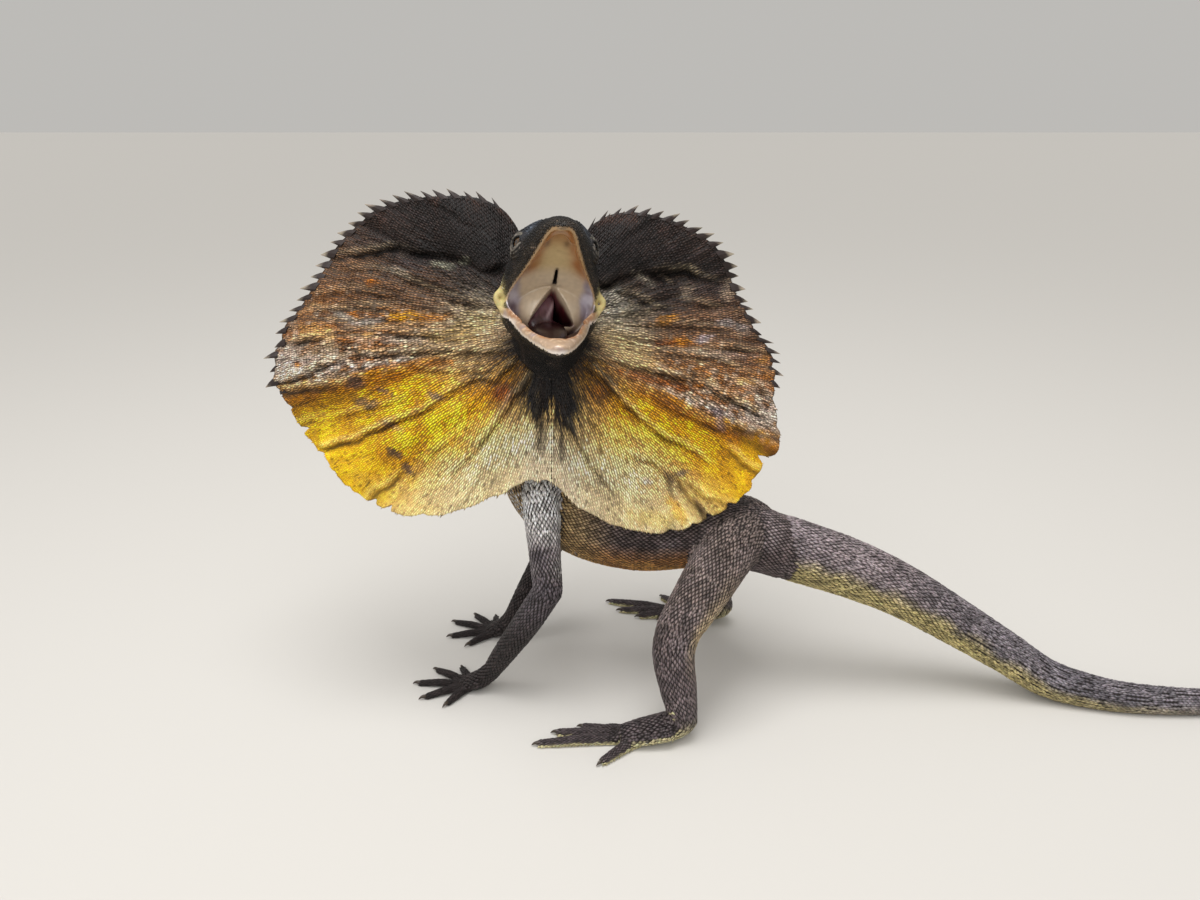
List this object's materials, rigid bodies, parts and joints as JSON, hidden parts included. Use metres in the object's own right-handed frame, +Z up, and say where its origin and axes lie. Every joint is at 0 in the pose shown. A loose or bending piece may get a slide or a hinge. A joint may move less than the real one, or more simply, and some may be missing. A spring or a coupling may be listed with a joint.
{
  "type": "frilled lizard",
  "caption": "Life-size frilled lizard standing on four legs with its mouth agape, its neck frill spread wide and its long tail lying on the floor.",
  "frame": {"origin": "on the floor, under the middle of the whole model's bounding box", "axes": "+X towards the tail, +Z up; the open mouth faces -Y"},
  "size_m": [0.6748, 0.1708, 0.2682],
  "materials": {
    "hide": "matt scaled skin",
    "frill_skin": "matt scaled skin",
    "mouth_skin": "moist skin",
    "eye": "wet gloss"
  },
  "bodies": {
    "root": {"eye_left": "eye", "eye_right": "eye", "foot_left": "hide", "foot_right": "hide", "forearm_left": "hide", "forearm_right": "hide", "frill_left": "frill_skin", "frill_right": "frill_skin", "hand_left": "hide", "hand_right": "hide", "head": "hide", "lower_jaw": "hide", "neck": "hide", "shin_left": "hide", "shin_right": "hide", "tail_base": "hide", "tail_fore": "hide", "tail_middle": "hide", "tail_rear": "hide", "tail_tip": "hide", "thigh_left": "hide", "thigh_right": "hide", "tongue": "mouth_skin", "torso": "hide", "upper_arm_left": "hide", "upper_arm_right": "hide"}
  },
  "joints": []
}
